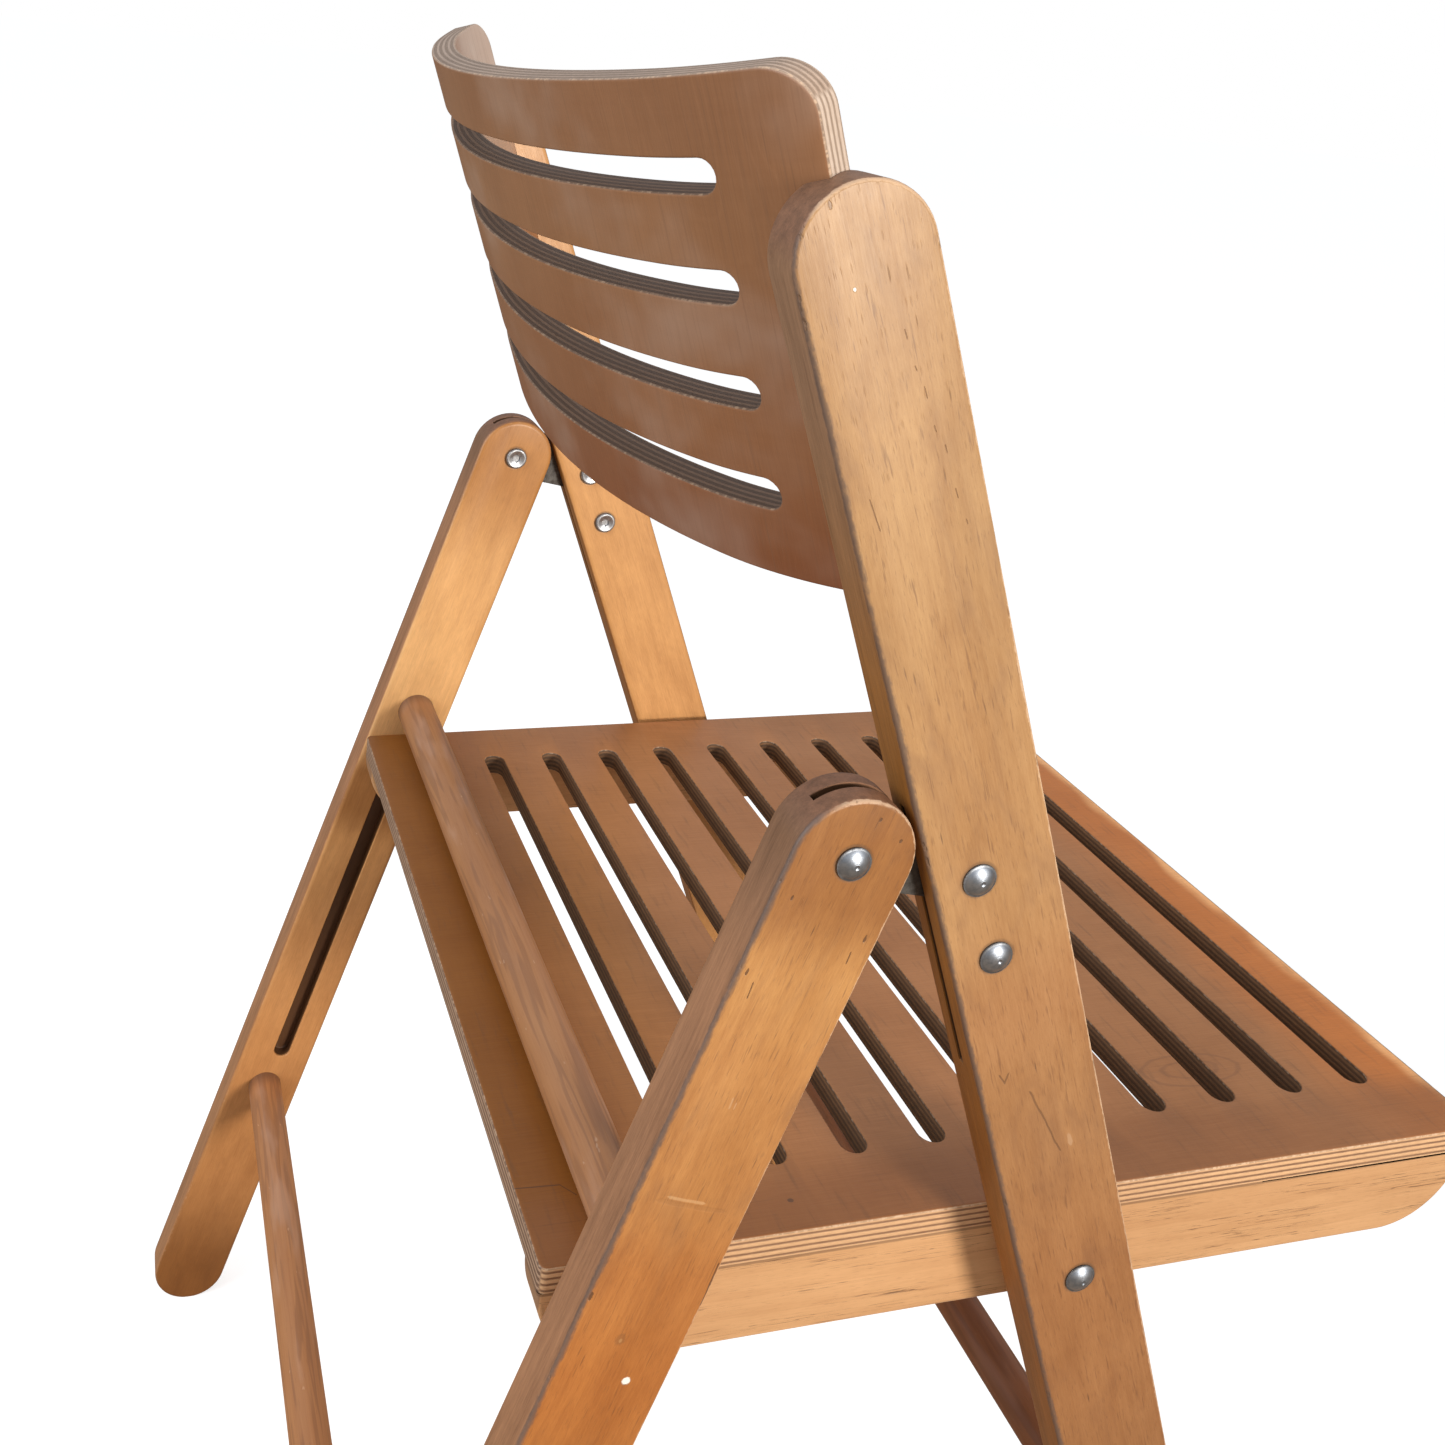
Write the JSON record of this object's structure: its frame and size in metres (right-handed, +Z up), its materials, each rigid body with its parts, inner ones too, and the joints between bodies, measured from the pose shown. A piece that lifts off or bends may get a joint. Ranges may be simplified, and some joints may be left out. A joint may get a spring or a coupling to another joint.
{
  "type": "folding chair",
  "caption": "Wooden folding chair with slatted plywood seat, curved slotted back and scissor legs that fold with the seat on steel hinge plates.",
  "frame": {"origin": "middle of the footprint on the floor", "axes": "+X to the sitter's left, -Y to the front of the chair, +Z up"},
  "size_m": [0.4356, 0.5216, 0.8228],
  "materials": {
    "board_front": "satin",
    "board_rear": "satin",
    "rail": "satin",
    "dowel": "satin",
    "ply_back": "satin",
    "ply_seat": "satin",
    "nickel_heads": "satin",
    "pin_steel": "satin",
    "plate_steel": "satin"
  },
  "bodies": {
    "frame": {"left_post": "board_front", "right_post": "board_front", "back_panel": "ply_back", "front_dowel": "dowel", "left_hinge_plate": "plate_steel", "right_hinge_plate": "plate_steel", "plate_cap_nuts": "nickel_heads", "plate_bolts": "nickel_heads", "leg_pivot_cap_nuts": "nickel_heads", "leg_pivot_bolts": "nickel_heads", "seat_pivot_cap_nuts": "nickel_heads", "seat_pivot_bolts": "nickel_heads", "seat_pivot_spacers": "pin_steel"},
    "rear_legs": {"left_rear_leg": "board_rear", "right_rear_leg": "board_rear", "seat_stop_dowel": "dowel", "lower_rear_dowel": "dowel"},
    "seat": {"seat_panel": "ply_seat", "left_seat_rail": "rail", "right_seat_rail": "rail", "left_guide_pin": "pin_steel", "right_guide_pin": "pin_steel"}
  },
  "joints": [
    {"name": "seat_fold", "type": "hinge", "parent": "frame", "child": "seat", "pos_m": [0, -0.04575, 0.40206], "axis": [-1, 0, 0], "range_deg": [0, 92.4]},
    {"name": "leg_fold", "type": "hinge", "parent": "frame", "child": "rear_legs", "pos_m": [0, 0.08172, 0.583], "axis": [-1, 0, 0], "range_deg": [0, 38.9]}
  ],
  "couplings": [
    {"joint": "leg_fold", "follows": "seat_fold", "ratio": 0.417}
  ]
}
